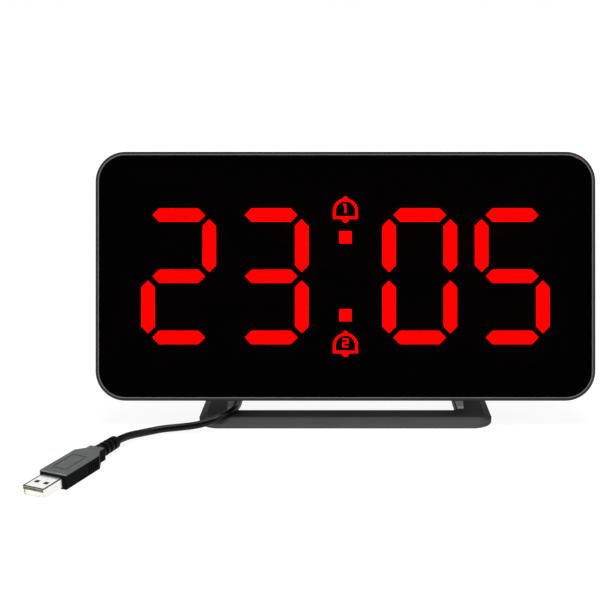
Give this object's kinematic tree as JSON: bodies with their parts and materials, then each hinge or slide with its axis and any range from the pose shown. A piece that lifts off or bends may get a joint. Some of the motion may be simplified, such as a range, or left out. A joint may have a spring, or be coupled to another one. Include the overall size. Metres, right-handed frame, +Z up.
{
  "type": "digital desk clock",
  "caption": "Slim leaning desk clock with a red segment display behind a smoked window, on a tilting loop stand, with rear setting buttons and a USB power lead.",
  "frame": {"origin": "on the desk, under the middle of the stand", "axes": "+Z up, the face looks towards -Y, +X to the right seen from the front"},
  "size_m": [0.2842, 0.1594, 0.1453],
  "materials": {
    "frame_plastic": "moulded ABS, satin dark grey",
    "back_plastic": "moulded ABS, fine spark texture, black",
    "stand_plastic": "moulded ABS, satin dark grey",
    "window": "smoked acrylic, polished",
    "lit_guide": "red light guide, lit",
    "unlit_guide": "red light guide, unlit",
    "mask_black": "moulded ABS, matt black",
    "board_green": "glass-fibre circuit board, solder masked",
    "component_black": "moulded epoxy",
    "led_white": "LED package",
    "connector_white": "moulded nylon",
    "tape_black": "foam tape",
    "screw_steel": "zinc plated steel",
    "spring_steel": "spring steel",
    "cell_steel": "nickel plated steel",
    "button_plastic": "moulded ABS",
    "pad_rubber": "moulded rubber",
    "lead_jacket": "extruded PVC",
    "plug_mould": "moulded PVC",
    "shell_nickel": "nickel plated steel",
    "tongue_white": "moulded nylon",
    "contact_gold": "gold plated bronze"
  },
  "bodies": {
    "stand": {"stand_base": "stand_plastic", "foot_pads": "pad_rubber", "usb_lead": "lead_jacket", "plug_boot": "plug_mould", "plug_overmould": "plug_mould", "plug_shell": "shell_nickel", "plug_tongue": "tongue_white", "plug_contacts": "contact_gold"},
    "head": {"bezel_frame": "frame_plastic", "front_lens": "window", "lens_tape": "tape_black", "display_mask": "mask_black", "led_board": "board_green", "segment_leds": "led_white", "led_board_screws": "screw_steel", "main_board": "board_green", "main_board_screws": "screw_steel", "board_link": "component_black", "clock_chip": "component_black", "time_crystal": "spring_steel", "alarm_buzzer": "component_black", "tact_switches": "component_black", "cell_holder": "component_black", "backup_cell": "cell_steel", "rear_cover": "back_plastic", "case_screws": "screw_steel", "hinge_pins": "screw_steel", "friction_washers": "spring_steel", "lead_gland": "lead_jacket", "lead_tail": "lead_jacket", "lead_socket": "connector_white", "hour_tens_lit": "lit_guide", "hour_units_lit": "lit_guide", "minute_tens_lit": "lit_guide", "minute_units_lit": "lit_guide", "colon_dots": "lit_guide", "alarm_1_icon": "lit_guide", "alarm_2_icon": "lit_guide", "hour_tens_unlit": "unlit_guide", "hour_units_unlit": "unlit_guide", "minute_tens_unlit": "unlit_guide", "minute_units_unlit": "unlit_guide"},
    "set_button": {"set_button": "button_plastic"},
    "up_button": {"up_button": "button_plastic"},
    "down_button": {"down_button": "button_plastic"},
    "alarm_button": {"alarm_button": "button_plastic"},
    "battery_door": {"battery_door": "back_plastic"}
  },
  "joints": [
    {"name": "tilt_hinge", "type": "hinge", "parent": "stand", "child": "head", "pos_m": [0, 0.00412, 0.0255], "axis": [1, 0, 0], "range_deg": [-10, 5]},
    {"name": "set_press", "type": "slide", "parent": "head", "child": "set_button", "axis": [0, -0.9659, 0.2588], "range_m": [0, 0.0006], "stiffness_N_per_m": 600},
    {"name": "up_press", "type": "slide", "parent": "head", "child": "up_button", "axis": [0, -0.9659, 0.2588], "range_m": [0, 0.0006], "stiffness_N_per_m": 600},
    {"name": "down_press", "type": "slide", "parent": "head", "child": "down_button", "axis": [0, -0.9659, 0.2588], "range_m": [0, 0.0006], "stiffness_N_per_m": 600},
    {"name": "alarm_press", "type": "slide", "parent": "head", "child": "alarm_button", "axis": [0, -0.9659, 0.2588], "range_m": [0, 0.0006], "stiffness_N_per_m": 600},
    {"name": "door_lift", "type": "slide", "parent": "head", "child": "battery_door", "axis": [0, 0.9659, -0.2588], "range_m": [0, 0.012]}
  ]
}
